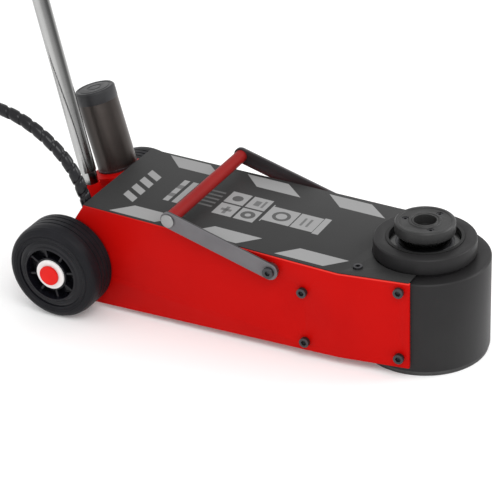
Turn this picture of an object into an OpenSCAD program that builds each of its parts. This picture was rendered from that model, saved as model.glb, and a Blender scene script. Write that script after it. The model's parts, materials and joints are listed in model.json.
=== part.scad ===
// Two-stage air-hydraulic jack: an upright lifting cylinder at the front, a frame of two side
// plates, an air-driven pump and two wheels at the rear, a carry handle and a pull handle.
// The origin is on the cylinder's axis at the floor. +X points forward and +Y to the left.

/* [Cylinder] */
// Outer diameter of the cylinder body
body_d = 202; // [200:0.5:203]
// Height of the cylinder body's top face
body_top = 158.5; // [156:0.5:162]
// Outer diameter of the gland collar
collar_d = 158; // [150:1:170]
// Height of the gland collar's top face
collar_top = 188; // [186:1:190]

/* [Ram] */
// Outer diameter of the first stage
stage1_d = 110; // [106:1:112]
// Height of the first stage's top face when it is down
stage1_top = 180; // [178:1:184]
// Outer diameter of the second stage
stage2_d = 80; // [76:1:82]
// Outer diameter of the saddle
saddle_d = 93; // [86:1:100]
// Height of the saddle's top face when the ram is down
closed_h = 215; // [212:1:220]
// Diameter of the hole in the saddle's centre
socket_d = 35; // [30:1:38]

/* [Frame] */
// Thickness of the side plates
plate_t = 5; // [4:0.5:6]
// Distance from the centre plane to a side plate's outer face at its front end
front_half = 107; // [107:0.5:108]
// Distance from the centre plane to a side plate's outer face at its bend
bend_half = 115; // [114:0.5:116]
// Distance from the centre plane to a side plate's outer face at its rear end
tail_half = 107; // [106.5:0.5:108]

/* [Wheels] */
// Outer diameter of the wheels
wheel_d = 160; // [150:1:160]
// Width of a tyre
wheel_w = 58; // [50:1:60]
// Distance from the centre plane to a wheel's inner face
wheel_in = 110; // [109.5:0.5:112]
// Diameter of the axle
axle_d = 20; // [18:1:20]

/* [Handles] */
// Length of the carry handle's arms between the two pivots
arm_l = 180; // [170:1:190]
// Outer diameter of the carry handle's grip tube
grip_d = 21; // [18:1:24]
// Outer diameter of the pull handle's tube
tube_d = 27; // [25:0.5:28]
// Lean of the pull handle behind the vertical, in degrees
handle_lean = 11.9; // [11:0.1:13]
// Distance along the pull handle from the axle to the foot of the control head
head_at = 1000; // [990:1:1010]

/* [Air motor] */
// Outer diameter of the motor barrel
motor_d = 67; // [62:1:68]
// Length of the motor above its bracket
motor_l = 141; // [135:1:145]
// Lean of the motor behind the vertical, in degrees
motor_lean = 14.1; // [13:0.1:15]

/* [Air hose] */
// Outer diameter of the air hose
hose_d = 20; // [16:1:21]

/* [Hidden] */
$fn = 96;

RIGHT = -1;
LEFT = 1;
fit = 0.05; // radial clearance of a running or located fit
gap = 0.3; // clearance between parts that move past each other
ext = 200; // length of a cutting solid that passes right through

// Colours
c_red = [0.76, 0.08, 0.07];
c_grip_red = [0.80, 0.20, 0.17];
c_black = [0.18, 0.18, 0.19];
c_dark = [0.27, 0.27, 0.27];
c_steel = [0.62, 0.62, 0.64];
c_arm = [0.48, 0.47, 0.49];
c_rubber = [0.14, 0.14, 0.15];
c_white = [0.86, 0.85, 0.83];
c_brass = [0.72, 0.58, 0.30];

// Cylinder and ram
foot_t = 8;
sleeve_floor = 14;
bore_d = 125; // bore that the first stage's piston runs in
sleeve_d = 150;
stage1_bore = 90;
spigot_d = 100; // turned-down foot of the first stage, inside its piston
piston1_h = 14;
gland1_h = 14;
collar_foot = 163; // underside of the collar's flange
relief_top = 166.2; // top of the space inside the collar that lets the piston rise
wiper_d = 120;
ram_foot = 20;
ram_bore = 44;
ram_spigot = 72;
piston2_h = 13.8;
saddle_h = 22;
stage2_lift = 86;
saddle_screw_r = 31;
saddle_screw_turn = -52; // angle of the first saddle screw about the ram's axis

// Frame
front_x = 19;
bend_x = -94;
cover_rear_x = -539;
tail_x = -602;
// Height of a side plate's top edge at its front, at its bend and at the cover's rear edge
plate_top_z = [163, 160, 183];
cover_t = 1.5;
cover_gap = 0.1; // between the plates' top edges and the cover that lies over them
cover_inset = [2.4, 2, -0.6]; // from the plates' outer faces to the cover's edge, at the same places
// Side outline of a side plate, as x and z
plate_outline = [
    [front_x, 17], [front_x, plate_top_z[0]], [bend_x, plate_top_z[1]],
    [cover_rear_x, plate_top_z[2]], [-598, 94],
    [-602, 80], [-600, 60], [-590, 40], [-575, 20], [-556, 8], [-94, 14]
];
tank_half = 92;
tank_x = [-470, -62];
tank_z = [24, 148];
tank_t = 3;
tank_clear_r = 105;
pipe_notch = [-112, 60]; // corner of the notch in the tank's left front, where the pipe turns in
plug_pos = [-72, -88];
// Side bolts, as x and z: two into the cylinder, then two into the tank
bolt_spots = [[4, 148], [4, 34], [-152, 116], [-150, 29]];
bolt_d = 10;
bolt_head_d = 16;
bolt_head_h = 7;

// Wheels and axle
axle_x = -574;
axle_z = wheel_d / 2;
axle_half = 172;
hub_d = 118;
bush_d = 50;
recess_d = 86;
cap_d = 33;

// Carry handle
pivot = [-203, 144.5];
arm_rise = 17; // angle of the arms above the horizontal at rest
arm_in = 120;
arm_t = 5.5;
arm_w = 27;
grip_bolt_d = 22;

// Air motor, in its own frame: the origin is where its axis meets the bracket's top
motor_base_pos = [-584.6, 74, 160.6];
cap_h = 21;
motor_bore = 56;
piston_s = 97;
piston_t = 12;
plunger_d = 12;
pump_s = [-64, -6.1];
pump_d = 40;

// Pull handle, in its own frame: the origin is on the axle and +Z runs up the tube
socket_top = 84;
tube_foot = 105.6;
ferrule_d = 23;
head_h = 62;
head_size = [44, 68];
bar_s = head_at + 34;
bar_half = 150;
bar_d = 18;
grip_l = 100;
hand_grip_d = 30;
lever_pivot = [30, 37];
lever_tip = 132;
port_d = 11.8;
elbow_y = -22;
elbow_start = [-18, head_at + 12];
elbow_l = 43.4;

// Air hose: points along its route from the manifold fitting to the control head's elbow
hose_route = [
    [-531, -85, 124], [-535, -85, 138], [-547, -85, 174], [-559, -85, 208], [-574, -85, 236],
    [-595, -85, 260], [-625, -85, 284], [-661, -85, 303], [-698, -85, 313], [-736, -85, 316],
    [-773, -84, 307], [-805, -82, 285], [-830, -80, 254], [-847, -77, 216], [-857, -74, 180],
    [-871, -71, 145], [-899, -68, 119], [-935, -66, 107], [-973, -64, 112], [-1005, -62, 133],
    [-1026, -60, 165], [-1033, -58, 205], [-1031, -55, 269], [-1027, -52, 339],
    [-1021, -49, 409], [-1014, -46, 479], [-1006, -43, 549], [-995, -40, 618],
    [-981, -36, 687], [-963, -33, 755], [-940, -30, 821], [-916, -27, 876],
    [-888, -24, 929], [-857, -22, 980], [-824, -22, 1030]
];
pressure_route = [
    [-505.5, 80, 112], [-494, 80, 112], [-486, 84, 106], [-481, 92, 94], [-480, 97, 80],
    [-474, 98, 67], [-462, 98, 62], [-440, 98, 60], [-260, 99, 60], [-110, 99, 60],
    [-92, 97, 60], [-78, 91, 60], [-68, 86, 60]
];
air_pipe_route = [
    [-520, -69.5, 92], [-520, -60, 92], [-520, -40, 93], [-520, -10, 96], [-522, 20, 104],
    [-524, 38, 112], [-524, 51.5, 116]
];

// Points of an arc from angle a0 to angle a1
function arc(cx, cy, r, a0, a1, n) = [
    for (i = [0 : n]) let (a = a0 + (a1 - a0) * i / n) [cx + r * cos(a), cy + r * sin(a)]
];
// Distance from the centre plane to a side plate's outer face at x
function plate_y(x) = x > bend_x
    ? bend_half + (front_half - bend_half) * (x - bend_x) / (front_x - bend_x)
    : bend_half + (tail_half - bend_half) * (x - bend_x) / (tail_x - bend_x);
// Turn of a side plate's outward normal from the Y axis at x, in degrees
function plate_turn(x) = x > bend_x
    ? atan((bend_half - front_half) / (front_x - bend_x))
    : atan((tail_half - bend_half) / (bend_x - tail_x));
// Height of the cover's top face at x
function cover_z(x) = cover_gap + cover_t + plate_top_z[1] + (x > bend_x
    ? (plate_top_z[0] - plate_top_z[1]) * (x - bend_x) / (front_x - bend_x)
    : (plate_top_z[2] - plate_top_z[1]) * (bend_x - x) / (bend_x - cover_rear_x));
function unit(v) = v / norm(v);
function tangent(p, i) = unit(p[min(i + 1, len(p) - 1)] - p[max(i - 1, 0)]);

// Closed tube with n sides swept along the points of a route
module swept(route, r, n) {
    last = len(route) - 1;
    rings = [
        for (i = [0 : last])
        let (t = tangent(route, i), s = unit(cross([0, 1, 0.001], t)), u = cross(t, s))
        for (k = [0 : n - 1]) route[i] + r * (cos(360 * k / n) * s + sin(360 * k / n) * u)
    ];
    walls = [
        for (i = [0 : last - 1]) for (k = [0 : n - 1])
        let (a = i * n + k, b = i * n + (k + 1) % n) [a, a + n, b + n, b]
    ];
    ends = [[for (k = [0 : n - 1]) k], [for (k = [0 : n - 1]) last * n + n - 1 - k]];
    polyhedron(points = rings, faces = concat(walls, ends), convexity = 10);
}

// Coil spring of round wire along +Z, from z0 to z1
module coil(mean_r, wire_r, z0, z1, turns) {
    steps = 12;
    route = [
        for (i = [0 : turns * steps])
        let (a = 360 * i / steps, z = z0 + wire_r + (z1 - z0 - 2 * wire_r) * i / (turns * steps))
        [mean_r * cos(a), mean_r * sin(a), z]
    ];
    last = len(route) - 1;
    n = 6;
    rings = [
        for (i = [0 : last]) let (a = 360 * i / steps, out = [cos(a), sin(a), 0])
        for (k = [0 : n - 1]) let (b = 360 * k / n)
        route[i] + wire_r * (cos(b) * out + sin(b) * [0, 0, 1])
    ];
    walls = [
        for (i = [0 : last - 1]) for (k = [0 : n - 1])
        let (a = i * n + k, b = i * n + (k + 1) % n) [a, b, b + n, a + n]
    ];
    ends = [[for (k = [0 : n - 1]) n - 1 - k], [for (k = [0 : n - 1]) last * n + k]];
    polyhedron(points = rings, faces = concat(walls, ends), convexity = 20);
}

module ring(r_out, r_in, z0, z1) {
    translate([0, 0, z0]) difference() {
        cylinder(r = r_out, h = z1 - z0);
        translate([0, 0, -1]) cylinder(r = r_in, h = z1 - z0 + 2);
    }
}

// Rod along Y, from y0 to y1
module y_rod(r, y0, y1) {
    translate([0, y0, 0]) rotate([-90, 0, 0]) cylinder(r = r, h = y1 - y0);
}

// Turns a child's +Z outwards, to the left or right
module outward(side) {
    rotate([-90 * side, 0, 0]) children();
}

module at_axle() {
    translate([axle_x, 0, axle_z]) children();
}

// Places a child on a side plate's outer face at x and z, with its +Z pointing outwards
module on_plate(side, x, z) {
    translate([x, side * plate_y(x), z])
    rotate([0, 0, -side * plate_turn(x)])
    outward(side) children();
}

module in_motor() {
    translate(motor_base_pos) rotate([0, -motor_lean, 0]) children();
}

module in_handle() {
    at_axle() rotate([0, -handle_lean, 0]) children();
}

module in_arm(side) {
    translate([pivot[0], side * arm_in, pivot[1]]) rotate([0, arm_rise, 0])
    outward(side) children();
}

// Strip in plan along a side plate's inner face, from x0 to x1
module plate_strip(side, x0, x1, inset, t) {
    out0 = plate_y(x0) - plate_t - inset;
    out1 = plate_y(x1) - plate_t - inset;
    polygon([
        [x0, side * out0], [x1, side * out1], [x1, side * (out1 - t)], [x0, side * (out0 - t)]
    ]);
}

// Plan of a sheet that fills the space between the side plates
module between_plates(x_rear, x_front, inset) {
    xs = x_front > bend_x ? [x_rear, bend_x, x_front] : [x_rear, x_front];
    left = [for (x = xs) [x, plate_y(x) - plate_t - inset]];
    right = [for (i = [len(xs) - 1 : -1 : 0]) [left[i][0], -left[i][1]]];
    polygon(concat(left, right));
}

// ---- Lifting cylinder ----

module base_foot() {
    color(c_dark) {
        cylinder(d = body_d - 4, h = foot_t);
        translate([0, 0, foot_t - 1]) cylinder(d = sleeve_d - 2 * fit, h = sleeve_floor - foot_t + 1);
    }
}

module cylinder_body() {
    chamfer = 2;
    color(c_black) difference() {
        rotate_extrude() polygon([
            [sleeve_d / 2, foot_t], [body_d / 2, foot_t], [body_d / 2, body_top - chamfer],
            [body_d / 2 - chamfer, body_top], [sleeve_d / 2, body_top]
        ]);
        for (side = [RIGHT, LEFT], i = [0, 1])
            on_plate(side, bolt_spots[i][0], bolt_spots[i][1])
            translate([0, 0, -26]) cylinder(d = bolt_d + 2 * fit, h = 40);
    }
}

module pressure_sleeve() {
    color(c_steel) ring(sleeve_d / 2 - fit, bore_d / 2, sleeve_floor, body_top - 8);
}

module gland_collar() {
    inner = stage1_d / 2 + fit;
    relief = bore_d / 2 + 0.1;
    color(c_black) rotate_extrude() polygon([
        [relief, body_top - 8], [sleeve_d / 2 - fit, body_top - 8],
        [sleeve_d / 2 - fit, collar_foot], [collar_d / 2 - 1, collar_foot], [collar_d / 2, collar_foot + 1],
        [collar_d / 2, collar_top - 2], [collar_d / 2 - 2, collar_top],
        [wiper_d / 2, collar_top], [wiper_d / 2, collar_top - 4], [inner, collar_top - 4],
        [inner, relief_top], [relief, relief_top]
    ]);
}

module collar_wiper() {
    color(c_rubber)
    ring(wiper_d / 2 - fit, stage1_d / 2 + 0.1, collar_top - 4, collar_top + 0.8);
}

// ---- Ram ----

module stage1_tube() {
    foot = sleeve_floor + gap;
    color(c_steel) rotate_extrude() polygon([
        [stage1_bore / 2, foot], [spigot_d / 2, foot], [spigot_d / 2, foot + piston1_h],
        [stage1_d / 2, foot + piston1_h], [stage1_d / 2, stage1_top - 1.5],
        [stage1_d / 2 - 1.5, stage1_top], [stage1_bore / 2, stage1_top]
    ]);
}

module stage1_piston() {
    foot = sleeve_floor + gap;
    color(c_steel) difference() {
        ring(bore_d / 2 - fit, spigot_d / 2 + fit, foot, foot + piston1_h - 0.2);
        ring(bore_d / 2 + 5, bore_d / 2 - 4, foot + 5, foot + 9);
    }
}

module stage1_gland() {
    color(c_black)
    ring(stage1_bore / 2 - fit, stage2_d / 2 + fit, stage1_top - gland1_h, stage1_top);
}

module stop_sleeve() {
    from = ram_foot + piston2_h + stage2_lift + 0.5;
    color(c_steel)
    ring(stage1_bore / 2 - fit, stage2_d / 2 + 1, from, stage1_top - gland1_h - 0.2);
}

module stage2_ram() {
    top = closed_h - saddle_h;
    color(c_steel) difference() {
        rotate_extrude() polygon([
            [0, ram_foot], [ram_spigot / 2, ram_foot], [ram_spigot / 2, ram_foot + piston2_h + 0.2],
            [stage2_d / 2, ram_foot + piston2_h + 0.2], [stage2_d / 2, top], [0, top]
        ]);
        translate([0, 0, ram_foot - 1]) cylinder(d = ram_bore, h = 162);
        for (a = [0 : 120 : 240]) rotate([0, 0, a + saddle_screw_turn])
            translate([saddle_screw_r, 0, top - 8]) cylinder(d = 6 + 2 * fit, h = 10);
    }
}

module stage2_piston() {
    color(c_steel) difference() {
        ring(stage1_bore / 2 - fit, ram_spigot / 2 + fit, ram_foot, ram_foot + piston2_h);
        ring(stage1_bore / 2 + 5, stage1_bore / 2 - 4, ram_foot + 5, ram_foot + 9);
    }
}

module saddle() {
    r = saddle_d / 2;
    foot = closed_h - saddle_h;
    groove_z = closed_h - 1.2;
    color(c_black) difference() {
        rotate_extrude() polygon([
            [0, foot], [r - 5, foot], [r, foot + 5], [r, closed_h - 2], [r - 2, closed_h],
            [40.5, closed_h], [39.5, groove_z], [25.5, groove_z], [24.5, closed_h],
            [22.5, closed_h], [21.5, groove_z], [20.5, groove_z], [19.5, closed_h],
            [socket_d / 2, closed_h], [socket_d / 2, closed_h - 16], [0, closed_h - 16]
        ]);
        for (a = [0 : 120 : 240]) rotate([0, 0, a + saddle_screw_turn]) translate([saddle_screw_r, 0, 0]) {
            translate([0, 0, foot - 1]) cylinder(d = 6 + 2 * fit, h = saddle_h);
            translate([0, 0, closed_h - 7]) cylinder(d = 10.4, h = 8);
        }
    }
}

module saddle_screws() {
    head_top = closed_h - 2;
    color(c_dark) for (a = [0 : 120 : 240]) rotate([0, 0, a + saddle_screw_turn])
    translate([saddle_screw_r, 0, 0]) difference() {
        union() {
            translate([0, 0, closed_h - saddle_h - 7]) cylinder(d = 6, h = saddle_h);
            translate([0, 0, closed_h - 7]) cylinder(d = 10, h = head_top - closed_h + 7);
        }
        translate([0, 0, head_top - 3]) cylinder(d = 5.6, h = 4, $fn = 6);
    }
}

module return_spring() {
    color(c_steel) coil(14, 2, sleeve_floor, 180, 14);
}

// ---- Frame ----

module side_plate(side) {
    color(c_red) difference() {
        union() {
            intersection() {
                linear_extrude(height = 200) polygon([
                    for (p = [
                        [front_x, front_half], [bend_x, bend_half], [tail_x, tail_half],
                        [tail_x, tail_half - plate_t], [bend_x, bend_half - plate_t],
                        [front_x, front_half - plate_t]
                    ]) [p[0], side * p[1]]
                ]);
                rotate([90, 0, 0]) linear_extrude(height = 300, center = true)
                    polygon(plate_outline);
            }
            on_plate(side, pivot[0], pivot[1]) translate([0, 0, -12]) cylinder(r = 9, h = 9);
        }
        for (b = bolt_spots) on_plate(side, b[0], b[1])
            cylinder(d = bolt_d + 2 * fit, h = 60, center = true);
        on_plate(side, pivot[0], pivot[1])
            cylinder(d = bolt_d + 0.5, h = 60, center = true);
        at_axle() y_rod(axle_d / 2 + fit, -ext, ext);
    }
}

module side_plate_right() { side_plate(RIGHT); }
module side_plate_left() { side_plate(LEFT); }

// Part of the space over a side outline from x0 to x1, between two depths below the cover's top face
module under_cover(x0, x1, from, to) {
    xs = x1 > bend_x ? [x0, bend_x, x1] : [x0, x1];
    top = [for (x = xs) [x, cover_z(x) - from]];
    foot = [for (i = [len(xs) - 1 : -1 : 0]) [xs[i], cover_z(xs[i]) - to]];
    rotate([90, 0, 0]) linear_extrude(height = 300, center = true) polygon(concat(top, foot));
}

// Strip against a side plate's inner face that hangs under the cover
module cover_strip(side, x0, x1, t, depth) {
    intersection() {
        under_cover(x0, x1, cover_t / 2, depth);
        linear_extrude(height = 250) plate_strip(side, x0, x1, gap, t);
    }
}

module top_cover() {
    x = [front_x - 1, bend_x, cover_rear_x];
    y = [for (i = [0 : 2]) plate_y(x[i]) - cover_inset[i]];
    color(c_dark) difference() {
        union() {
            intersection() {
                under_cover(cover_rear_x, front_x - 1, 0, cover_t);
                linear_extrude(height = 250) polygon([
                    [x[0], y[0]], [x[1], y[1]], [x[2], y[2]], [x[2], -y[2]], [x[1], -y[1]], [x[0], -y[0]]
                ]);
            }
            for (side = [RIGHT, LEFT]) {
                cover_strip(side, cover_rear_x + 3, bend_x - 1, 2, 14);
                cover_strip(side, -172, -132, 3, 56);
            }
        }
        translate([0, 0, 100]) cylinder(r = collar_d / 2 + 1.5, h = 100);
        translate([plug_pos[0], plug_pos[1], 100]) cylinder(r = 7.6, h = 100);
        for (side = [RIGHT, LEFT]) {
            on_plate(side, bolt_spots[2][0], bolt_spots[2][1])
                cylinder(d = bolt_d + 2 * fit, h = 60, center = true);
            on_plate(side, pivot[0], pivot[1]) translate([0, 0, -20]) cylinder(r = 10, h = 30);
        }
    }
}

module bottom_plate() {
    color(c_red) difference() {
        translate([0, 0, 18]) linear_extrude(height = 3) between_plates(-494, -30, gap);
        cylinder(r = body_d / 2 + 1.5, h = ext);
    }
}

module rear_crossmember() {
    color(c_red) difference() {
        translate([0, 0, 21.2]) linear_extrude(height = 140) between_plates(-499, -494, gap);
        translate([-ext * 3, 80, 112]) rotate([0, 90, 0]) cylinder(r = 6.5, h = ext * 2);
    }
}

module side_bolts() {
    color(c_dark) for (side = [RIGHT, LEFT], b = bolt_spots) on_plate(side, b[0], b[1])
    difference() {
        union() {
            translate([0, 0, -25]) cylinder(d = bolt_d, h = 26);
            translate([0, 0, 0.6]) cylinder(d = bolt_head_d, h = bolt_head_h);
        }
        translate([0, 0, bolt_head_h - 4.4]) cylinder(d = 9.2, h = 6, $fn = 6);
    }
}

// ---- Oil side ----

// Plan of the tank, drawn in from its outer face by inset
module tank_plan(inset) {
    difference() {
        translate([tank_x[0] + inset, -tank_half + inset])
            square([tank_x[1] - tank_x[0] - 2 * inset, 2 * (tank_half - inset)]);
        circle(r = tank_clear_r + inset);
        translate([pipe_notch[0] - inset, pipe_notch[1] - inset]) square(ext);
    }
}

module oil_reservoir() {
    neck_top = cover_z(plug_pos[0]) - cover_t - 0.8;
    color(c_black) difference() {
        union() {
            difference() {
                translate([0, 0, tank_z[0]]) linear_extrude(height = tank_z[1] - tank_z[0])
                    tank_plan(0);
                translate([0, 0, tank_z[0] + tank_t])
                    linear_extrude(height = tank_z[1] - tank_z[0] - 2 * tank_t)
                    tank_plan(tank_t);
            }
            translate([plug_pos[0], plug_pos[1], tank_z[1] - 8])
                cylinder(r = 9, h = neck_top - tank_z[1] + 8);
            for (side = [RIGHT, LEFT]) {
                on_plate(side, bolt_spots[2][0], bolt_spots[2][1])
                    translate([0, 0, -32]) cylinder(r = 9, h = 32 - plate_t - 3.7);
                on_plate(side, bolt_spots[3][0], bolt_spots[3][1])
                    translate([0, 0, -32]) cylinder(r = 7, h = 32 - plate_t - gap);
            }
        }
        translate([plug_pos[0], plug_pos[1], tank_z[1] - 5]) cylinder(r = 7.05, h = 30);
        translate([plug_pos[0], plug_pos[1] + 4, tank_z[1] - 12]) cylinder(r = 3, h = 10);
        for (side = [RIGHT, LEFT], i = [2, 3]) on_plate(side, bolt_spots[i][0], bolt_spots[i][1])
            translate([0, 0, -26]) cylinder(d = bolt_d + 2 * fit, h = 40);
    }
}

module filler_plug() {
    top = cover_z(plug_pos[0]);
    color(c_black) translate([plug_pos[0], plug_pos[1], 0]) difference() {
        union() {
            translate([0, 0, top - 16]) cylinder(r = 7, h = 16);
            translate([0, 0, top - 2.2]) cylinder(r = 7.3, h = 5.2);
        }
        translate([0, 0, top - 1]) cylinder(d = 8, h = 5, $fn = 6);
    }
}

module pressure_pipe() {
    color(c_steel) swept(pressure_route, 4, 8);
}

module pump_block() {
    color(c_black) difference() {
        union() {
            in_motor() translate([0, 0, pump_s[0]]) cylinder(d = pump_d, h = pump_s[1] - pump_s[0]);
            translate([-566, 56, 104]) cube([60, 38, 46]);
        }
        in_motor() {
            translate([0, 0, pump_s[0] + 4]) cylinder(d = plunger_d + 2 * fit, h = 100);
            translate([0, 0, pump_s[1]]) cylinder(r = 80, h = 100);
        }
        translate([-510, 63, 138]) rotate([0, 90, 0]) cylinder(d = 12 + 2 * fit, h = 10);
    }
}

module release_valve() {
    color(c_brass) translate([-509.5, 63, 138]) rotate([0, 90, 0]) {
        cylinder(d = 12, h = 9);
        translate([0, 0, 4]) cylinder(d = 17, h = 5, $fn = 6);
    }
}

// ---- Air motor ----

module motor_bracket() {
    deck_y = [22, 102.2];
    web_t = 5;
    web = [[44, -3], [26.6, -78], [10, -74], [-26, -18], [-35, -8], [-35, -3]];
    color(c_red) in_motor() translate([0, -motor_base_pos[1], 0]) difference() {
        union() {
            translate([-36, deck_y[0], -6]) cube([81, deck_y[1] - deck_y[0], 5]);
            for (y = [deck_y[0] + 0.5, deck_y[1] - web_t - 0.5]) translate([0, y + web_t, 0])
                rotate([90, 0, 0]) linear_extrude(height = web_t) polygon(web);
        }
        translate([0, motor_base_pos[1], -10]) cylinder(d = 30, h = 20);
    }
}

module motor_base() {
    color(c_black) in_motor() difference() {
        union() {
            translate([0, 0, -0.9]) cylinder(d = motor_d, h = 4.9);
            cylinder(d = motor_bore - 2 * fit, h = 8);
            translate([0, 0, -6]) cylinder(d = 29.8, h = 7);
        }
        translate([0, 0, -10]) cylinder(d = plunger_d + 2 * fit, h = 30);
    }
}

module motor_barrel() {
    color([0.32, 0.29, 0.27]) in_motor()
        ring(motor_d / 2, motor_bore / 2, 4, motor_l - cap_h);
}

module motor_cap() {
    r = motor_d / 2;
    top = motor_l;
    foot = motor_l - cap_h;
    color(c_black) in_motor() rotate_extrude() polygon([
        [0, foot - 6], [motor_bore / 2 - fit, foot - 6], [motor_bore / 2 - fit, foot],
        [r + 0.5, foot], [r + 0.5, top - 3], [r - 2, top],
        [r - 5, top], [r - 6, top - 1], [r - 8, top - 1], [r - 9, top],
        [13, top], [12, top - 1], [10.5, top - 1], [9.5, top], [0, top]
    ]);
}

module air_piston() {
    color(c_steel) in_motor() {
        translate([0, 0, piston_s]) cylinder(d = motor_bore - 2 * fit, h = piston_t);
        translate([0, 0, -12]) cylinder(d = plunger_d, h = piston_s + 13);
    }
}

module piston_spring() {
    color(c_steel) in_motor() coil(18, 1.6, 8.2, piston_s - 0.2, 7);
}

// ---- Air side ----

module air_manifold() {
    color(c_steel) difference() {
        translate([-548, -99.5, 78]) cube([40, 30, 36]);
        translate([-529, -85, 116]) rotate([0, -16, 0])
            translate([0, 0, -18]) cylinder(d = 14 + 2 * fit, h = 30);
    }
}

module air_pipe() {
    color(c_steel) swept(air_pipe_route, 3, 8);
}

module hose_fitting() {
    color(c_brass) translate([-529, -85, 116]) rotate([0, -16, 0]) {
        translate([0, 0, -12]) cylinder(d = 14, h = 20);
        translate([0, 0, 1]) cylinder(d = 21, h = 6.8, $fn = 6);
    }
}

module air_hose() {
    color(c_rubber) swept(hose_route, hose_d / 2, 10);
}

// ---- Wheels ----

module axle() {
    color(c_steel) at_axle() y_rod(axle_d / 2, -axle_half, axle_half);
}

module axle_caps() {
    color(c_red) at_axle() for (side = [RIGHT, LEFT]) outward(side) difference() {
        translate([0, 0, wheel_in + wheel_w + 1.3]) cylinder(d = cap_d, h = 4.7);
        translate([0, 0, wheel_in]) cylinder(d = axle_d + 2 * fit, h = axle_half - wheel_in + 0.2);
    }
}

module axle_spacers() {
    color(c_steel) at_axle() for (side = [RIGHT, LEFT]) outward(side) {
        ring(15, axle_d / 2 + fit, tail_half + 1, wheel_in - gap);
        ring(15, axle_d / 2 + fit, 16.4, 21);
    }
}

// Tyre section as radius and distance from the centre plane: a flat tread with three grooves, and a
// domed outer side with a ring
module tyre() {
    r = wheel_d / 2;
    y0 = wheel_in;
    y1 = wheel_in + wheel_w;
    ri = hub_d / 2;
    groove = 1.6;
    grooves = [for (y = [y0 + 11, y0 + 21, y0 + 31]) each [
        [r, y], [r - groove, y + 0.6], [r - groove, y + 1.8], [r, y + 2.4]
    ]];
    color(c_rubber) rotate_extrude() polygon(concat(
        [[ri, y0 + 3], [ri + 8, y0], [r - 2, y0], [r, y0 + 2]],
        grooves,
        [[r, y1 - 18], [r - 0.6, y1 - 14], [r - 1.6, y1 - 9], [r - 3.6, y1 - 4.8], [r - 7, y1 - 2]],
        [[r - 11, y1 - 0.6], [ri + 7, y1 - 1], [ri + 6, y1 + 0.4], [ri + 4.5, y1 + 0.4]],
        [[ri + 3.5, y1 - 1], [ri, y1 - 2]]
    ));
}

module hub() {
    ri = hub_d / 2;
    y0 = wheel_in;
    y1 = wheel_in + wheel_w;
    depth = 15;
    ribs = 8;
    color(c_black) {
        rotate_extrude() polygon([
            [bush_d / 2 + fit, y0 + 1], [28.5, y0 + 1], [29.5, y0 + depth], [recess_d / 2 - 2, y0 + depth],
            [recess_d / 2, y0 + 2], [ri - fit, y0 + 4],
            [ri - fit, y1 - 3], [ri - 5, y1 - 1], [49.5, y1 - 1], [47, y1 + 1], [recess_d / 2 + 1, y1 + 1],
            [recess_d / 2 - 2, y1 - depth], [29.5, y1 - depth], [28, y1 - 2], [bush_d / 2 + fit, y1 - 2]
        ]);
        for (k = [0 : ribs - 1]) rotate([0, 0, 360 * k / ribs + 11])
            translate([28.2, -1.8, y1 - depth - 1]) cube([recess_d / 2 - 28.8, 3.6, depth - 3]);
    }
}

module bush() {
    color(c_white) ring(bush_d / 2, axle_d / 2 + fit, wheel_in, wheel_in + wheel_w + 0.6);
}

module tyre_right() { at_axle() outward(RIGHT) tyre(); }
module tyre_left() { at_axle() outward(LEFT) tyre(); }
module hub_right() { at_axle() outward(RIGHT) hub(); }
module hub_left() { at_axle() outward(LEFT) hub(); }
module bush_right() { at_axle() outward(RIGHT) bush(); }
module bush_left() { at_axle() outward(LEFT) bush(); }

// ---- Carry handle ----

// The arm lies along -X in its own frame, with its outer face towards +Z
module carry_arm(side) {
    color(c_arm) in_arm(side) difference() {
        union() {
            cylinder(d = arm_w, h = arm_t);
            translate([-arm_l, 0, 0]) cylinder(d = arm_w, h = arm_t);
            translate([-arm_l, -arm_w / 2, 0]) cube([arm_l, arm_w, arm_t]);
        }
        translate([0, 0, -1]) cylinder(d = bolt_d + 2 * fit, h = arm_t + 2);
        translate([-arm_l, 0, -1]) cylinder(d = 8 + 2 * fit, h = arm_t + 2);
    }
}

module carry_arm_right() { carry_arm(RIGHT); }
module carry_arm_left() { carry_arm(LEFT); }

module at_grip() {
    translate([
        pivot[0] - arm_l * cos(arm_rise), 0, pivot[1] + arm_l * sin(arm_rise)
    ]) children();
}

module grip_tube() {
    color(c_grip_red) at_grip() difference() {
        y_rod(grip_d / 2, -arm_in + 0.1, arm_in - 0.1);
        for (side = [RIGHT, LEFT]) outward(side)
            translate([0, 0, arm_in - 22]) cylinder(d = 8 + 2 * fit, h = 30);
    }
}

module grip_bolts() {
    color(c_dark) at_grip() for (side = [RIGHT, LEFT]) outward(side) {
        translate([0, 0, arm_in - 20]) cylinder(d = 8, h = 20 + arm_t + 1);
        translate([0, 0, arm_in + arm_t + 0.1]) cylinder(d = grip_bolt_d, h = 3);
    }
}

module pivot_bolts() {
    head_z = arm_in + arm_t + gap;
    color(c_dark) for (side = [RIGHT, LEFT]) translate([pivot[0], 0, pivot[1]]) outward(side)
    difference() {
        union() {
            translate([0, 0, plate_y(pivot[0]) - 14]) cylinder(d = bolt_d, h = 30);
            translate([0, 0, head_z]) cylinder(d = 18, h = 5.5);
        }
        translate([0, 0, head_z + 1.8]) cylinder(d = 9.2, h = 6, $fn = 6);
    }
}

module pivot_spacers() {
    color(c_steel) for (side = [RIGHT, LEFT]) translate([pivot[0], 0, pivot[1]]) outward(side)
        ring(11, bolt_d / 2 + fit, plate_y(pivot[0]) + 0.3, arm_in - gap);
}

// ---- Pull handle ----

module handle_yoke() {
    hub_half = 16;
    color(c_red) in_handle() difference() {
        union() {
            y_rod(17, -hub_half, hub_half);
            cylinder(d = tube_d + 1, h = socket_top);
        }
        y_rod(axle_d / 2 + fit, -hub_half - 1, hub_half + 1);
        translate([0, 0, 24]) cylinder(d = ferrule_d, h = socket_top);
    }
}

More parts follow.
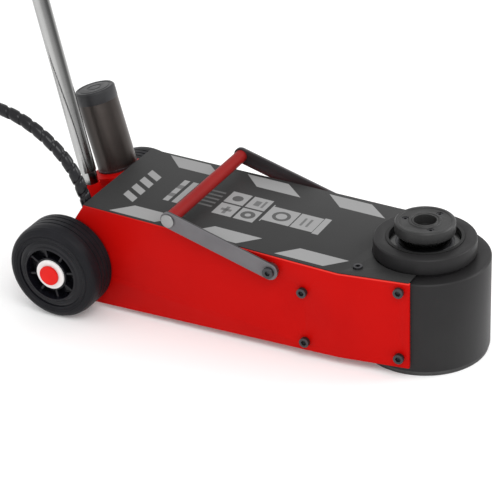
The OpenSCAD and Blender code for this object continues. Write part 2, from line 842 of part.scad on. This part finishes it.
module handle_tube() {
    color(c_steel) in_handle() ring(tube_d / 2, ferrule_d / 2, tube_foot, head_at + 20);
}

// Spigot that joins the socket to the tube, with a hexagon between them
module handle_ferrule() {
    color(c_steel) in_handle() {
        translate([0, 0, 24.2]) cylinder(d = ferrule_d - 2 * fit, h = tube_foot + 40 - 24.2);
        translate([0, 0, socket_top + 0.2])
            cylinder(d = tube_d - 0.4, h = tube_foot - socket_top - 0.4, $fn = 6);
    }
}

module control_head() {
    color(c_dark) in_handle() difference() {
        union() {
            translate([-head_size[0] / 2, -head_size[1] / 2, head_at])
                cube([head_size[0], head_size[1], head_h]);
            for (side = [RIGHT, LEFT], z = [bar_s - 16, bar_s + 11])
                translate([lever_pivot[0] - 12, side * lever_pivot[1] - 10, z]) cube([20, 20, 5]);
        }
        translate([0, 0, head_at - 1]) cylinder(d = tube_d + 2 * fit, h = 21.5);
        translate([0, 0, bar_s]) y_rod(bar_d / 2 + fit, -60, 60);
        translate([0, 0, head_at + head_h - 13]) cylinder(d = port_d, h = 14);
        for (side = [RIGHT, LEFT]) translate([lever_pivot[0], side * lever_pivot[1], bar_s - 20])
            cylinder(d = 5 + 2 * fit, h = 40);
        in_elbow() translate([0, 0, 4]) cylinder(d = 16 + 2 * fit, h = 40);
    }
}

module cross_bar() {
    color(c_steel) in_handle() translate([0, 0, bar_s]) y_rod(bar_d / 2, -bar_half, bar_half);
}

module hand_grips() {
    color(c_rubber) in_handle() translate([0, 0, bar_s]) for (side = [RIGHT, LEFT])
    outward(side) difference() {
        translate([0, 0, bar_half - grip_l]) cylinder(d = hand_grip_d, h = grip_l + 5);
        translate([0, 0, bar_half - grip_l - 1]) cylinder(d = bar_d + 2 * fit, h = grip_l + 1.2);
    }
}

// The elbow's own frame: +Z points out along the hose, down and to the rear
module in_elbow() {
    translate([elbow_start[0], elbow_y, elbow_start[1]]) rotate([0, -135, 0]) children();
}

module hose_elbow() {
    color(c_brass) in_handle() in_elbow() {
        translate([0, 0, 4]) cylinder(d = 16, h = elbow_l - 4);
        translate([0, 0, 20]) cylinder(d = 24, h = 9, $fn = 6);
        translate([0, 0, 29]) cylinder(d = 23, h = elbow_l - 29);
    }
}

module lever(side) {
    from = min(lever_pivot[1] * side, lever_tip * side);
    color(c_black) in_handle() translate([lever_pivot[0], 0, bar_s]) difference() {
        union() {
            translate([0, lever_pivot[1] * side, -10.7]) cylinder(r = 6.5, h = 21.4);
            translate([-1, from, -7]) cube([5, lever_tip - lever_pivot[1], 14]);
            translate([1.5, lever_tip * side, -7]) cylinder(r = 4, h = 14);
        }
        translate([0, lever_pivot[1] * side, -20]) cylinder(d = 5 + 2 * fit, h = 40);
    }
}

module lift_lever() { lever(LEFT); }
module lower_lever() { lever(RIGHT); }

module lever_pins() {
    color(c_steel) in_handle() for (side = [RIGHT, LEFT])
        translate([lever_pivot[0], side * lever_pivot[1], bar_s - 17]) cylinder(d = 5, h = 34);
}

base_foot();
cylinder_body();
pressure_sleeve();
gland_collar();
collar_wiper();
side_plate_right();
side_plate_left();
top_cover();
bottom_plate();
rear_crossmember();
side_bolts();
oil_reservoir();
filler_plug();
pressure_pipe();
pump_block();
release_valve();
motor_bracket();
motor_base();
motor_barrel();
motor_cap();
axle();
axle_caps();
axle_spacers();
air_manifold();
air_pipe();
hose_fitting();
air_hose();
return_spring();
piston_spring();
pivot_bolts();
pivot_spacers();
stage1_tube();
stage1_piston();
stage1_gland();
stop_sleeve();
stage2_ram();
stage2_piston();
saddle();
saddle_screws();
air_piston();
tyre_right();
hub_right();
bush_right();
tyre_left();
hub_left();
bush_left();
carry_arm_right();
carry_arm_left();
grip_tube();
grip_bolts();
handle_yoke();
handle_tube();
handle_ferrule();
control_head();
cross_bar();
hand_grips();
hose_elbow();
lift_lever();
lower_lever();
lever_pins();
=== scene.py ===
import json
import math

import bpy
from mathutils import Matrix, Vector


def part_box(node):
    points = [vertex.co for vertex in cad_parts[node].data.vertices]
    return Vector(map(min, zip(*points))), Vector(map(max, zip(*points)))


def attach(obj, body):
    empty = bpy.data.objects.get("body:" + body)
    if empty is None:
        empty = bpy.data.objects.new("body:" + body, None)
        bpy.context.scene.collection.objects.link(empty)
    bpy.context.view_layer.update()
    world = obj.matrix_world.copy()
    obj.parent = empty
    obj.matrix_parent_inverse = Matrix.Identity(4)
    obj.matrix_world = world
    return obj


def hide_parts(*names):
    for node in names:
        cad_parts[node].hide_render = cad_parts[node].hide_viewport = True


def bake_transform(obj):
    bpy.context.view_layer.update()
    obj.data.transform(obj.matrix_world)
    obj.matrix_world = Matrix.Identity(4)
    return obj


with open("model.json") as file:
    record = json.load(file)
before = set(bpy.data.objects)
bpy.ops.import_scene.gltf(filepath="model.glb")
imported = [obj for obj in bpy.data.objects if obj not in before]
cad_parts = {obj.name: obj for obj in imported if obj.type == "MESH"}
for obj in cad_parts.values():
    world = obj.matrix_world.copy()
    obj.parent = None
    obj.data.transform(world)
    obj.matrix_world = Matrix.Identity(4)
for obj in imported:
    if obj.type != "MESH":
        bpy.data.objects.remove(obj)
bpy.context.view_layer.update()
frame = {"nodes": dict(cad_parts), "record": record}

MM = 0.001
record = frame["record"]
node_body = {n: b for b, ns in record["behaviour"]["bodies"].items() for n in ns}
node_slot = {s["node"]: s["material_slot"] for s in record["subparts"]}
joints = {j["name"]: j for j in record["behaviour"]["joints"]}


# ---- Camera ----

def turned(azimuth, elevation, roll):
    """Rotation of a camera that looks down at the jack from azimuth and elevation."""
    back = Vector((
        math.sin(azimuth) * math.cos(elevation),
        -math.cos(azimuth) * math.cos(elevation),
        math.sin(elevation),
    ))
    right = Vector((math.cos(azimuth), math.sin(azimuth), 0))
    up = back.cross(right)
    side = math.cos(roll) * right + math.sin(roll) * up
    top = math.cos(roll) * up - math.sin(roll) * right
    return Matrix((side, top, back)).transposed().to_4x4()


camera_data = bpy.data.cameras.new("camera")
camera_data.sensor_width = 36
camera_data.lens = 143.3
camera_data.clip_end = 50
camera = bpy.data.objects.new("camera", camera_data)
bpy.context.scene.collection.objects.link(camera)
camera.matrix_world = (
    Matrix.Translation((1.0261, -2.4480, 1.6232)) @ turned(0.497, 0.501, -0.046)
)
bpy.context.scene.camera = camera
bpy.context.scene.view_settings.view_transform = "Standard"


# ---- Materials ----

class Wire:
    """A number or colour that flows through a material, with Python's own operators."""

    def __init__(self, finish, socket):
        self.finish = finish
        self.socket = socket

    def maths(self, operation, a, b=None, clamp=False):
        values = {0: a} if b is None else {0: a, 1: b}
        settings = {"operation": operation, "use_clamp": clamp}
        return self.finish.node("ShaderNodeMath", settings, values)

    def __add__(self, other):
        return self.maths("ADD", self, other)

    def __radd__(self, other):
        return self.maths("ADD", other, self)

    def __sub__(self, other):
        return self.maths("SUBTRACT", self, other)

    def __rsub__(self, other):
        return self.maths("SUBTRACT", other, self)

    def __mul__(self, other):
        return self.maths("MULTIPLY", self, other)

    def __rmul__(self, other):
        return self.maths("MULTIPLY", other, self)

    def __truediv__(self, other):
        return self.maths("DIVIDE", self, other)

    def __gt__(self, other):
        return self.maths("GREATER_THAN", self, other)

    def __lt__(self, other):
        return self.maths("LESS_THAN", self, other)

    def clamped(self):
        return self.maths("ADD", self, 0.0, clamp=True)

    def ramp(self, low, high):
        """0 below low, 1 above high, and smooth between them."""
        settings = {"interpolation_type": "SMOOTHSTEP"}
        return self.finish.node("ShaderNodeMapRange", settings, {0: self, 1: low, 2: high})


class Finish:
    """A node material: node() adds any node, and the named methods set the shader."""

    def __init__(self, name, **constants):
        self.material = bpy.data.materials.new(name)
        self.material.use_nodes = True
        self.tree = self.material.node_tree
        self.shader = self.tree.nodes["Principled BSDF"]
        for key, value in constants.items():
            self.set(key.replace("_", " ").title(), value)

    def node(self, kind, settings, values, out=0):
        made = self.tree.nodes.new(kind)
        for key, value in settings.items():
            if key == "stops":
                self.fill_ramp(made.color_ramp, value)
            else:
                setattr(made, key, value)
        for key, value in values.items():
            self.feed(made.inputs[key], value)
        return Wire(self, made.outputs[out])

    def fill_ramp(self, ramp, stops):
        while len(ramp.elements) < len(stops):
            ramp.elements.new(0.5)
        for element, (place, colour) in zip(ramp.elements, stops):
            element.position = place
            element.color = (*colour, 1)

    def feed(self, socket, value):
        if isinstance(value, Wire):
            self.tree.links.new(value.socket, socket)
        elif isinstance(value, tuple) and len(value) == 3 and socket.type == "RGBA":
            socket.default_value = (*value, 1)
        else:
            socket.default_value = value

    def set(self, name, value):
        self.feed(self.shader.inputs[name], value)
        return self

    def place(self, centre=(0, 0, 0), turn=(0, 0, 0)):
        """Object coordinates seen from centre and turned, so that a pattern follows the part."""
        here = self.node("ShaderNodeTexCoord", {}, {}, "Object")
        shifted = self.node(
            "ShaderNodeVectorMath", {"operation": "SUBTRACT"}, {0: here, 1: centre}
        )
        if not any(turn):
            return shifted
        return self.node(
            "ShaderNodeMapping", {"vector_type": "POINT"}, {"Vector": shifted, "Rotation": turn}
        )

    def split(self, vector):
        parts = self.tree.nodes.new("ShaderNodeSeparateXYZ")
        self.tree.links.new(vector.socket, parts.inputs[0])
        return [Wire(self, parts.outputs[i]) for i in range(3)]

    def joined(self, x, y, z):
        return self.node("ShaderNodeCombineXYZ", {}, {0: x, 1: y, 2: z})

    def noise(self, vector, scale, detail=3.0, rough=0.5):
        values = {"Vector": vector, "Scale": scale, "Detail": detail, "Roughness": rough}
        return self.node("ShaderNodeTexNoise", {}, values, "Fac")

    def mixed(self, factor, a, b):
        return self.node("ShaderNodeMix", {"data_type": "RGBA"}, {0: factor, 6: a, 7: b}, 2)

    def bump(self, height, strength, distance):
        values = {"Height": height, "Strength": strength, "Distance": distance}
        return self.set("Normal", self.node("ShaderNodeBump", {}, values))


def paint(name, colour, shade, rough, grain, peel, spec, edge_highlight=None):
    """Powder coat: colour that drifts to shade, and an orange-peel skin.

    edge_highlight is the tone of a painted highlight along the side plates' upper edges."""
    f = Finish(name).set("Specular IOR Level", spec)
    here = f.place()
    drift = f.noise(here, 9.0)
    fine = f.noise(here, grain, 2.0)
    tone = f.mixed(drift.ramp(0.35, 0.75), colour, shade)
    # Painted highlight: a lighter red strip just under the side plates' top edges, stronger towards the front.
    if edge_highlight:
        x, y, z = (1000 * part for part in f.split(here))
        top = x.maths("MAXIMUM", 160 - 0.0517 * (x + 94), 160 + 0.0278 * (x + 94))
        side = y.maths("ABSOLUTE", y)
        along = (z - top).ramp(-2.2, -0.8) * within(side, 80, 150) * (0.45 + 0.5 * x.ramp(-420, -150))
        tone = f.mixed(along, tone, edge_highlight)
    f.set("Base Color", tone)
    f.set("Roughness", rough + 0.10 * (fine - 0.5) + 0.06 * drift)
    f.bump(fine, peel, 0.0004)
    return name, f.material


def turned_metal(name, colour, dark, rough, centre, lines, metallic=1.0, turn=(0, 0, 0), spec=0.3,
                 reflection_bands=None, painted_shade_above=None, painted_shade_inside=None):
    """Metal from the lathe: fine rings round the local Z axis through centre.

    reflection_bands are (place, tone) stops across the bar that paint on light and dark reflections,
    painted_shade_above is where a near-black painted shade starts, and painted_shade_inside is how far from
    the middle plane the faces painted dark as shade reach."""
    f = Finish(name, metallic=metallic).set("Specular IOR Level", spec)
    here = f.place(centre, turn)
    x, y, z = f.split(here)
    radius = f.node(
        "ShaderNodeVectorMath", {"operation": "LENGTH"}, {0: f.joined(x, y, 0.0)}, "Value"
    )
    rings = f.noise(f.joined(radius * lines, z * lines, 0.0), 1.0, 2.0)
    stain = f.noise(here, 22.0, 4.0)
    tone = f.mixed(stain.ramp(0.4, 0.8), colour, dark)
    # Painted reflections: light and dark stripes across the bar, fixed to the part, multiply its tone.
    if reflection_bands:
        across = (0.84 * x + 0.545 * y) / radius
        stops = [(place, (level, level, level)) for place, level in reflection_bands]
        shade = f.node("ShaderNodeValToRGB", {"stops": stops}, {0: 0.5 + 0.5 * across})
        times = {"data_type": "RGBA", "blend_type": "MULTIPLY"}
        tone = f.node("ShaderNodeMix", times, {0: 1.0, 6: tone, 7: shade}, 2)
    # Painted shade: above this height the ram is painted near-black, standing in for the shade in the bore.
    if painted_shade_above:
        tone = f.mixed(z.ramp(painted_shade_above, painted_shade_above + 0.002), tone, (0.07, 0.07, 0.07))
    # Painted shade: the carry arms' faces towards the middle plane are darkened as if in shadow.
    if painted_shade_inside:
        away = f.split(f.place())[1]
        inner_shade = 1 - away.maths("ABSOLUTE", away).ramp(painted_shade_inside - 0.0005, painted_shade_inside)
        tone = f.mixed(0.8 * inner_shade, tone, (0.018, 0.016, 0.017))
    f.set("Base Color", tone)
    f.set("Roughness", rough + 0.14 * (rings - 0.5) + 0.08 * (stain - 0.5))
    f.bump(rings, 0.12, 0.0002)
    return name, f.material


def moulded(name, colour, rough, grain=420.0, relief=0.15, spec=0.25):
    """Moulded plastic or rubber with a fine grain and a slight change of tone."""
    f = Finish(name).set("Specular IOR Level", spec)
    here = f.place()
    fine = f.noise(here, grain, 2.0)
    broad = f.noise(here, 14.0)
    lighter = tuple(min(1.0, c * 1.5 + 0.004) for c in colour)
    f.set("Base Color", f.mixed(broad.ramp(0.45, 0.85), colour, lighter))
    f.set("Roughness", rough + 0.12 * (fine - 0.5) + 0.08 * (broad - 0.5))
    f.bump(fine, relief, 0.0003)
    return name, f.material


def within(value, low, high):
    return (value > low) * (value < high)


# The cover's print: x0, x1, y0, y1 of each rectangle, and x, y and two radii of each ring, in mm
ARROW_STARTS = (-495, -352, -205)
PALE_BOXES = (
    (-436, -426, -36, 38), (-420, -410, -36, 38),
    (-348, -314, -37, 0), (-348, -314, 4, 41), (-310, -276, -37, 0), (-310, -276, 4, 41),
    (-268, -221, -21, 26), (-219, -181, -21, 26), (-180, -169, -24, 29), (-270, -268, -26, 31),
)
DARK_BOXES = (
    (-340, -322, -22, -15), (-334, -328, -31, -8), (-301, -291, 14, 30), (-287, -283, 12, 34),
    (-208, -204, -10, 15), (-198, -194, -10, 15), (-436, -426, -20, -9), (-436, -426, 8, 20),
)
DARK_RINGS = ((-293, -18, 5, 12), (-331, 22, 0, 9), (-244, 2, 9, 15))


def pale_marks(x, y):
    """1 on the arrows along both edges, the boxes, the thin stripes and the slanted bars."""
    side = y.maths("ABSOLUTE", y)
    far = y > 0
    run = 104 - side
    shift = 3 - 3 * far
    behind = x - shift - run * (0.9 + 0.13 * far) + 4 * far
    ahead = x - shift - run * (0.9 + 0.24 * far) + 11.5 * far
    pale = 0.0
    for start in ARROW_STARTS:
        pale = pale + (behind > start) * (ahead < start + 82) * within(side - 0.5 * shift, 72, 104)
    for x0, x1, y0, y1 in PALE_BOXES:
        pale = pale + within(x, x0, x1) * within(y, y0, y1)
    for k in range(5):
        pale = pale + 0.35 * within(x, -392, -356) * within(y, 12 * k - 22, 12 * k - 17)
    tilted = y + 0.6 * x
    for k in range(4):
        pale = pale + within(x, -500, -474) * within(tilted, 26 * k - 350, 26 * k - 334)
    return pale


def dark_marks(f, x, y):
    """1 where a plain sign lies on a pale box."""
    dark = 0.0
    for cx, cy, r0, r1 in DARK_RINGS:
        spot = f.joined(x - cx, y - cy, 0.0)
        away = f.node("ShaderNodeVectorMath", {"operation": "LENGTH"}, {0: spot}, "Value")
        dark = dark + within(away, r0, r1)
    for x0, x1, y0, y1 in DARK_BOXES:
        dark = dark + 0.75 * within(x, x0, x1) * within(y, y0, y1)
    return dark.clamped()


def marked_cover(name, grey, mark):
    """Dark grey sheet, printed with pale marks on its top face only."""
    f = Finish(name).set("Specular IOR Level", 0.2)
    here = f.place()
    x, y, z = (1000 * part for part in f.split(here))
    on_top = z + 0.0517 * x > 155.6
    shown = (pale_marks(x, y) * on_top * (1 - 0.8 * dark_marks(f, x, y))).clamped()
    drift = f.noise(here, 8.0)
    fine = f.noise(here, 700.0, 2.0)
    sheet = f.mixed(drift.ramp(0.3, 0.8), grey, tuple(1.12 * c for c in grey))
    f.set("Base Color", f.mixed(shown, sheet, mark))
    f.set("Roughness", 0.52 + 0.08 * (fine - 0.5))
    f.bump(fine, 0.06, 0.0003)
    return name, f.material


# Where the axes of the lathe-turned pieces start, and how far they lean back
AXLE = tuple(joints["pull_handle_tilt"]["pos_m"])
ALONG_Y = (math.radians(90), 0, 0)
MOTOR_FOOT = (-0.5846, 0.074, 0.1606)
MOTOR_LEAN = math.radians(14.1)
HANDLE_LEAN = math.radians(11.9)

ARM_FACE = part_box("carry_arm_left")[1][1] - 0.002

# Painted reflections across the pull handle's tube and the motor: light and dark stripes, as place and tone
TUBE_REFLECTION_BANDS = [
    (0.0, 0.88), (0.25, 1.0), (0.38, 0.85), (0.5, 0.50), (0.65, 0.38),
    (0.78, 0.18), (0.86, 0.15), (0.94, 0.5), (1.0, 0.85),
]
MOTOR_REFLECTION_BANDS = [(0.0, 0.55), (0.12, 0.50), (0.30, 1.0), (0.55, 0.95), (0.78, 0.55), (0.90, 0.7), (1.0, 1.0)]

finishes = dict((
    # The last colour of red_paint is the painted highlight along the side plates' top edges.
    paint("red_paint", (0.455, 0.0030, 0.0020), (0.42, 0.0025, 0.0018),
        0.40, 520.0, 0.06, 0.05, (0.72, 0.040, 0.030)),
    paint("black_paint", (0.014, 0.0135, 0.014), (0.017, 0.0165, 0.017), 0.42, 640.0, 0.10, 0.18),
    marked_cover("cover_grey", (0.025, 0.025, 0.025), (0.26, 0.26, 0.26)),
    paint("tank_paint", (0.020, 0.020, 0.020), (0.026, 0.026, 0.026), 0.45, 400.0, 0.2, 0.25),
    paint("head_black", (0.014, 0.014, 0.015), (0.018, 0.018, 0.019), 0.40, 600.0, 0.15, 0.25),
    paint("grip_red", (0.235, 0.010, 0.009), (0.205, 0.008, 0.008), 0.45, 500.0, 0.06, 0.10),
    turned_metal("dark_steel", (0.08, 0.08, 0.08), (0.05, 0.05, 0.05), 0.45, (0, 0, 0), 900.0),
    turned_metal("machined_steel", (0.50, 0.50, 0.51), (0.40, 0.40, 0.41), 0.30, AXLE, 900.0, 1.0, ALONG_Y),
    turned_metal("ram_steel", (0.50, 0.50, 0.50), (0.42, 0.42, 0.42), 0.24, (0, 0, 0),
        1100.0, painted_shade_above=0.168),
    turned_metal("saddle_black", (0.030, 0.030, 0.030), (0.022, 0.022, 0.022), 0.42, (0, 0, 0), 700.0, 0.3),
    turned_metal("black_oxide", (0.060, 0.060, 0.064), (0.04, 0.04, 0.044), 0.38, (0, 0, 0), 500.0, 0.8),
    turned_metal("zinc_steel", (0.30, 0.30, 0.30), (0.24, 0.24, 0.24), 0.38, AXLE, 600.0, 1.0, ALONG_Y),
    turned_metal("spring_steel", (0.35, 0.35, 0.36), (0.25, 0.25, 0.26), 0.35, (0, 0, 0), 400.0),
    turned_metal("arm_zinc", (0.135, 0.130, 0.137), (0.118, 0.113, 0.120),
        0.42, AXLE, 300.0, 0.3, ALONG_Y, painted_shade_inside=ARM_FACE),
    turned_metal("brass", (0.62, 0.45, 0.18), (0.48, 0.34, 0.14), 0.32, (0, 0, 0), 600.0),
    turned_metal("bronze_anodised", (0.076, 0.065, 0.060), (0.062, 0.053, 0.049),
        0.36, MOTOR_FOOT, 260.0, 0.8, (0, MOTOR_LEAN, 0), reflection_bands=MOTOR_REFLECTION_BANDS),
    turned_metal("chrome_tube", (0.47, 0.47, 0.465), (0.43, 0.43, 0.43),
        0.20, AXLE, 500.0, 1.0, (0, HANDLE_LEAN, 0), reflection_bands=TUBE_REFLECTION_BANDS),
    moulded("seal_rubber", (0.010, 0.010, 0.010), 0.55),
    moulded("motor_cap_black", (0.026, 0.026, 0.028), 0.40, 600.0, 0.08, 0.25),
    moulded("cap_red", (0.66, 0.011, 0.008), 0.36, 500.0, 0.08, 0.12),
    moulded("hose_black", (0.0035, 0.0035, 0.005), 0.24, 700.0, 0.08, 0.32),
    moulded("tyre_rubber", (0.007, 0.007, 0.009), 0.48, 380.0, 0.12, 0.14),
    moulded("hub_black", (0.004, 0.004, 0.006), 0.20, 300.0, 0.05, 0.22),
    moulded("bush_white", (0.74, 0.72, 0.71), 0.45),
    moulded("grip_rubber", (0.010, 0.010, 0.011), 0.55, 500.0, 0.3),
    moulded("lever_black", (0.012, 0.012, 0.013), 0.32, 400.0, 0.1, 0.4),
))


# ---- Air hose ----

HOSE_PITCH = 22.5 * MM
HOSE_ROUTE = [
    (-531, -85, 124), (-535, -85, 138), (-547, -85, 174), (-559, -85, 208), (-574, -85, 236),
    (-595, -85, 260), (-625, -85, 284), (-661, -85, 303), (-698, -85, 313), (-736, -85, 316),
    (-773, -84, 307), (-805, -82, 285), (-830, -80, 254), (-847, -77, 216), (-857, -74, 180),
    (-871, -71, 145), (-899, -68, 119), (-935, -66, 107), (-973, -64, 112), (-1005, -62, 133),
    (-1026, -60, 165), (-1033, -58, 205), (-1031, -55, 269), (-1027, -52, 339),
    (-1021, -49, 409), (-1014, -46, 479), (-1006, -43, 549), (-995, -40, 618),
    (-981, -36, 687), (-963, -33, 755), (-940, -30, 821), (-916, -27, 876),
    (-888, -24, 929), (-857, -22, 980), (-824, -22, 1030),
]


def smooth_line(points, step):
    """Catmull-Rom curve through points, cut again into equal steps."""
    ends = [2 * points[0] - points[1]] + points + [2 * points[-1] - points[-2]]
    dense = []
    for i in range(1, len(ends) - 2):
        a, b, c, d = ends[i - 1:i + 3]
        for k in range(24):
            t = k / 24
            dense.append(0.5 * (
                2 * b + (c - a) * t + (2 * a - 5 * b + 4 * c - d) * t ** 2
                + (3 * b - a - 3 * c + d) * t ** 3
            ))
    dense.append(points[-1])
    total = sum((q - p).length for p, q in zip(dense, dense[1:]))
    count = round(total / step)
    line, walked, i = [dense[0]], 0.0, 0
    for k in range(1, count):
        target = total * k / count
        while walked + (dense[i + 1] - dense[i]).length < target:
            walked += (dense[i + 1] - dense[i]).length
            i += 1
        piece = dense[i + 1] - dense[i]
        line.append(dense[i] + piece * ((target - walked) / piece.length))
    line.append(dense[-1])
    return line


def frames_along(line):
    """Point, and two directions across the line that turn as little as they can."""
    across = Vector((0, 1, 0))
    frames = []
    for i, p in enumerate(line):
        along = (line[min(i + 1, len(line) - 1)] - line[max(i - 1, 0)]).normalized()
        across = (across - along * across.dot(along)).normalized()
        frames.append((p, across, along.cross(across), along))
    return frames


def mesh_object(name, points, faces, material):
    mesh = bpy.data.meshes.new(name)
    mesh.from_pydata([tuple(p) for p in points], [], faces)
    mesh.materials.append(material)
    made = bpy.data.objects.new(name, mesh)
    bpy.context.scene.collection.objects.link(made)
    return made


def skin(rings):
    """Faces between neighbouring rings of points, with both ends closed."""
    n = len(rings[0])
    faces = [
        (i * n + k, i * n + (k + 1) % n, (i + 1) * n + (k + 1) % n, (i + 1) * n + k)
        for i in range(len(rings) - 1) for k in range(n)
    ]
    faces.append(tuple(range(n - 1, -1, -1)))
    faces.append(tuple((len(rings) - 1) * n + k for k in range(n)))
    return faces


hose_line = smooth_line([Vector(p) * MM for p in HOSE_ROUTE], 3 * MM)
hose_length = sum((q - p).length for p, q in zip(hose_line, hose_line[1:]))
hose_frames = frames_along(hose_line)


def hose_core():
    sides = 16
    r = 8.2 * MM
    rings = [
        [p + r * (math.cos(a) * u + math.sin(a) * v)
         for a in (2 * math.pi * k / sides for k in range(sides))]
        for p, u, v, along in hose_frames
    ]
    return mesh_object("hose_core", [q for ring in rings for q in ring], skin(rings), finishes["hose_black"])


def spiral_wrap():
    """Band wound round the hose, a little domed across its width."""
    turns = hose_length / HOSE_PITCH
    per_turn = 20
    half = 9.0 * MM
    section = [
        (-1.0, 7.5), (-1.0, 9.0), (-0.93, 9.5), (-0.6, 9.9), (0.6, 9.9), (0.93, 9.5), (1.0, 9.0), (1.0, 7.5),
    ]
    count = int(turns * per_turn)
    rings = []
    for i in range(count + 1):
        distance = hose_length * (0.02 + 0.96 * i / count)
        ring = []
        for offset, radius in section:
            where = min(max(distance + offset * half, 0.0), hose_length) / hose_length * (len(hose_line) - 1)
            low = min(int(where), len(hose_line) - 2)
            share = where - low
            p0, u0, v0, t0 = hose_frames[low]
            p1, u1, v1, t1 = hose_frames[low + 1]
            angle = 2 * math.pi * distance / HOSE_PITCH
            centre = p0.lerp(p1, share)
            out = math.cos(angle) * u0.lerp(u1, share) + math.sin(angle) * v0.lerp(v1, share)
            ring.append(centre + out.normalized() * radius * MM)
        rings.append(ring)
    return mesh_object("spiral_wrap", [q for ring in rings for q in ring], skin(rings), finishes["hose_black"])


def only(*objects):
    bpy.ops.object.select_all(action="DESELECT")
    for o in objects:
        o.select_set(True)
    bpy.context.view_layer.objects.active = objects[0]


def outwards(piece):
    only(piece)
    bpy.ops.object.mode_set(mode="EDIT")
    bpy.ops.mesh.select_all(action="SELECT")
    bpy.ops.mesh.normals_make_consistent(inside=False)
    bpy.ops.object.mode_set(mode="OBJECT")


hose = hose_core()
wrap = spiral_wrap()
for piece in (hose, wrap):
    outwards(piece)
only(hose, wrap)
bpy.ops.object.join()
hose.name = "air_hose_wrapped"
only(hose)
bpy.ops.object.shade_smooth_by_angle(angle=math.radians(50))
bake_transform(hose)
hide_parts("air_hose")
hose_line[::4] + [hose_line[-1]]


# ---- CAD nodes ----

def merged_copy(node, name):
    """The node's own shape as a new mesh with joined triangles."""
    piece = frame["nodes"][node].copy()
    piece.data = frame["nodes"][node].data.copy()
    piece.parent = None
    for key in list(piece.keys()):
        del piece[key]
    piece.name = name
    bpy.context.scene.collection.objects.link(piece)
    only(piece)
    bpy.ops.object.mode_set(mode="EDIT")
    bpy.ops.mesh.select_all(action="SELECT")
    bpy.ops.mesh.remove_doubles(threshold=0.00001)
    bpy.ops.mesh.dissolve_limited(angle_limit=math.radians(0.5))
    bpy.ops.object.mode_set(mode="OBJECT")
    return piece


def eased(node, width, angle=35, segments=3):
    """Stands in for a node with its sharp edges rounded by width, in millimetres."""
    piece = merged_copy(node, node + "_eased")
    ease = piece.modifiers.new("ease", "BEVEL")
    ease.width = width * MM
    ease.segments = segments
    ease.limit_method = "ANGLE"
    ease.angle_limit = math.radians(angle)
    ease.harden_normals = True
    ease.use_clamp_overlap = True
    bpy.ops.object.shade_smooth()
    bpy.ops.object.modifier_apply(modifier="ease")
    piece.data.materials.clear()
    piece.data.materials.append(finishes[node_slot[node]])
    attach(piece, node_body[node])
    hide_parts(node)
    return piece


for node, made in frame["nodes"].items():
    made.data.materials.clear()
    made.data.materials.append(finishes[node_slot[node]])

EASE = {
    "side_plate_right": 1.4, "side_plate_left": 1.4, "top_cover": 0.35, "carry_arm_right": 0.7,
    "carry_arm_left": 0.7, "gland_collar": 0.6, "cylinder_body": 0.5, "base_foot": 0.8, "saddle": 0.4,
    "side_bolts": 0.5, "pivot_bolts": 0.6, "grip_bolts": 0.9, "motor_cap": 0.4, "motor_bracket": 0.8,
    "handle_yoke": 0.8, "handle_ferrule": 0.4, "axle_caps": 1.0, "bush_right": 0.6, "bush_left": 0.6,
    "control_head": 3.0, "cross_bar": 0.8, "hose_elbow": 0.5, "lift_lever": 1.2, "lower_lever": 1.2,
    "pump_block": 0.8, "bottom_plate": 0.5, "rear_crossmember": 0.6, "filler_plug": 0.3,
    "oil_reservoir": 1.0, "air_manifold": 0.6, "axle": 0.5, "hand_grips": 1.5, "motor_base": 0.5,
    "saddle_screws": 0.3, "release_valve": 0.4, "lever_pins": 0.3, "stage1_gland": 0.5,
}
for node, width in EASE.items():
    eased(node, width)


# ---- Studio ----

def studio():
    world = bpy.data.worlds.new("studio")
    bpy.context.scene.world = world
    world.use_nodes = True
    world.node_tree.nodes["Background"].inputs["Color"].default_value = (1.0, 1.0, 1.0, 1)
    world.node_tree.nodes["Background"].inputs["Strength"].default_value = 1.0
    bpy.ops.mesh.primitive_plane_add(size=60, location=(0, 0, 0))
    floor = bpy.context.object
    floor.name = "floor"
    f = Finish("floor", roughness=0.8, emission_color=(1.0, 1.0, 1.0), emission_strength=0.10)
    tone = f.noise(f.place(), 3.0)
    f.set("Base Color", f.mixed(tone.ramp(0.3, 0.7), (0.90, 0.90, 0.90), (0.92, 0.92, 0.92)))
    floor.data.materials.append(f.material)
    for name, spot, aim, size, power in (
        ("key", (1.2, -1.6, 2.8), (-0.25, 0, 0.1), 1.8, 40),
        ("rim", (1.8, 1.4, 1.6), (-0.1, 0, 0.1), 1.2, 25),
    ):
        lamp = bpy.data.lights.new(name, "AREA")
        lamp.size = size
        lamp.energy = power
        holder = bpy.data.objects.new(name, lamp)
        holder.location = spot
        holder.rotation_euler = (Vector(aim) - Vector(spot)).to_track_quat("-Z", "Y").to_euler()
        bpy.context.scene.collection.objects.link(holder)


studio()
